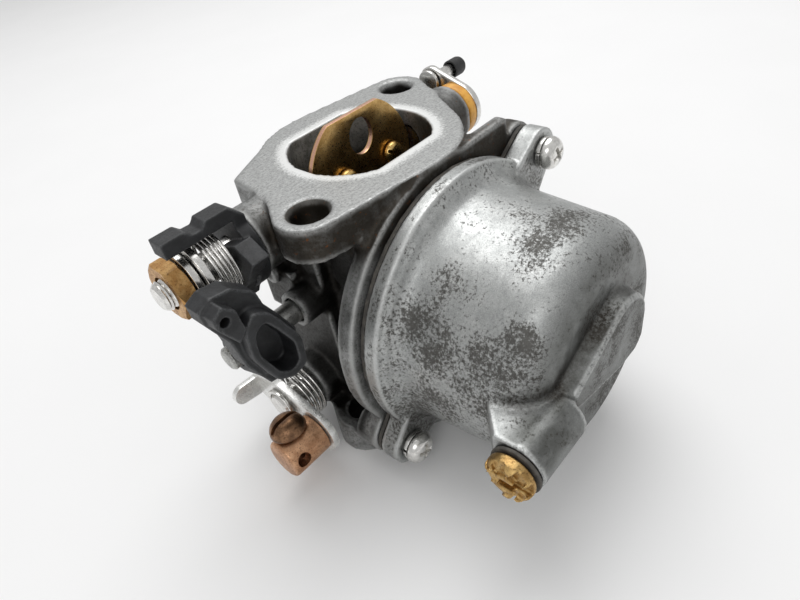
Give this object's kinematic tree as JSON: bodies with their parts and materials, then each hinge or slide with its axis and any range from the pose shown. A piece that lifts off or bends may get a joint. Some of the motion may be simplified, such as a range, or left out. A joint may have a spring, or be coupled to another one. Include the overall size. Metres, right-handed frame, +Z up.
{
  "type": "carburetor",
  "caption": "Float-bowl carburetor with choke and throttle valves, plastic choke lever, cable clamp lever and a round float bowl.",
  "frame": {"origin": "centre of the bounding box on the plane of the engine flange face, which the carburetor rests on", "axes": "+Z up along the bore, from the engine flange to the inlet flange; +X along the valve shafts, from the cable end to the link end; the float bowl points along -Y"},
  "size_m": [0.096, 0.0924, 0.0656],
  "materials": {
    "cast": "die-cast aluminium, satin, with dark mottled oxide stains",
    "gasket": "dark compressed fibre",
    "steel": "bright plated steel, lightly worn",
    "brass": "aged brass",
    "copper": "dull copper brown plating",
    "tarnished": "tarnished orange brown plating",
    "black_plastic": "charcoal moulded plastic, scuffed",
    "amber_plastic": "amber nylon",
    "rubber": "black rubber"
  },
  "bodies": {
    "body": {"main_body": "cast", "float_bowl": "cast", "bowl_gasket": "gasket", "bowl_screw_front": "steel", "bowl_screw_rear": "steel", "bowl_lock_washer_front": "steel", "bowl_lock_washer_rear": "steel", "drain_washer": "gasket", "choke_bush": "amber_plastic", "cam_pivot_pin": "steel", "idle_speed_spring": "steel", "idle_mixture_spring": "steel", "float_pin": "steel", "valve_seat": "brass", "main_nozzle": "brass", "main_jet": "brass", "pilot_jet": "brass", "fuel_inlet_nipple": "brass"},
    "choke_valve": {"choke_shaft": "steel", "choke_plate": "brass", "choke_plate_screw_1": "brass", "choke_plate_screw_2": "brass", "choke_lever": "black_plastic", "choke_spring": "steel", "choke_collar": "steel", "choke_lock_washer": "steel", "choke_nut": "tarnished", "choke_end_lever": "steel"},
    "link": {"link_stud": "steel", "link_stud_cap": "rubber"},
    "throttle_valve": {"throttle_shaft": "steel", "throttle_plate": "brass", "throttle_plate_screw_1": "brass", "throttle_plate_screw_2": "brass", "throttle_lever": "steel", "throttle_retainer": "steel", "throttle_spring": "steel", "throttle_stop_lever": "steel"},
    "cable_clamp": {"cable_barrel": "copper"},
    "clamp_screw": {"cable_screw": "copper"},
    "fast_idle_cam": {"cam_lever": "black_plastic"},
    "speed_screw": {"idle_speed_screw": "brass"},
    "mixture_screw": {"idle_mixture_screw": "brass"},
    "drain_plug": {"drain_screw": "brass"},
    "float_arm": {"float": "black_plastic"},
    "needle": {"needle_valve": "steel"}
  },
  "joints": [
    {"name": "choke_turn", "type": "hinge", "parent": "body", "child": "choke_valve", "pos_m": [0.0026, 0.0159, 0.053], "axis": [-1, 0, 0], "range_deg": [0, 68], "stiffness_Nm_per_rad": 0.01, "springref_deg": -34.38},
    {"name": "throttle_turn", "type": "hinge", "parent": "body", "child": "throttle_valve", "pos_m": [0.0026, 0.0162, 0.012], "axis": [-1, 0, 0], "range_deg": [0, 78], "stiffness_Nm_per_rad": 0.01, "springref_deg": -34.38},
    {"name": "link_swivel", "type": "hinge", "parent": "choke_valve", "child": "link", "pos_m": [0.0376, 0.0233, 0.0586], "axis": [1, 0, 0], "continuous": true},
    {"name": "cable_clamp_swivel", "type": "hinge", "parent": "throttle_valve", "child": "cable_clamp", "pos_m": [-0.0374, 0.0057, 0.01], "axis": [1, 0, 0], "range_deg": [0, 70]},
    {"name": "clamp_screw_turn", "type": "hinge", "parent": "cable_clamp", "child": "clamp_screw", "pos_m": [-0.0394, 0.0057, 0.01], "axis": [0, 0.2079, 0.9782], "continuous": true},
    {"name": "fast_idle_lift", "type": "hinge", "parent": "body", "child": "fast_idle_cam", "pos_m": [-0.0374, 0.0109, 0.037], "axis": [1, 0, 0], "range_deg": [0, 15]},
    {"name": "idle_speed_turn", "type": "hinge", "parent": "body", "child": "speed_screw", "pos_m": [0.0322, 0.0188, 0.03], "axis": [0, 0, 1], "continuous": true},
    {"name": "idle_mixture_turn", "type": "hinge", "parent": "body", "child": "mixture_screw", "pos_m": [0.0116, 0.0352, 0.009], "axis": [0, 1, 0], "continuous": true},
    {"name": "drain_turn", "type": "hinge", "parent": "body", "child": "drain_plug", "pos_m": [-0.0274, -0.0414, 0.0283], "axis": [1, 0, 0], "continuous": true},
    {"name": "float_swing", "type": "hinge", "parent": "body", "child": "float_arm", "pos_m": [0.0026, -0.013, 0.0465], "axis": [-1, 0, 0], "range_deg": [0, 8]},
    {"name": "needle_slide", "type": "slide", "parent": "body", "child": "needle", "axis": [0, -1, 0], "range_m": [0, 0.001]}
  ],
  "couplings": [
    {"joint": "fast_idle_lift", "follows": "choke_turn", "ratio": 0.2},
    {"joint": "needle_slide", "follows": "float_swing", "m_per_rad": 0.007}
  ]
}
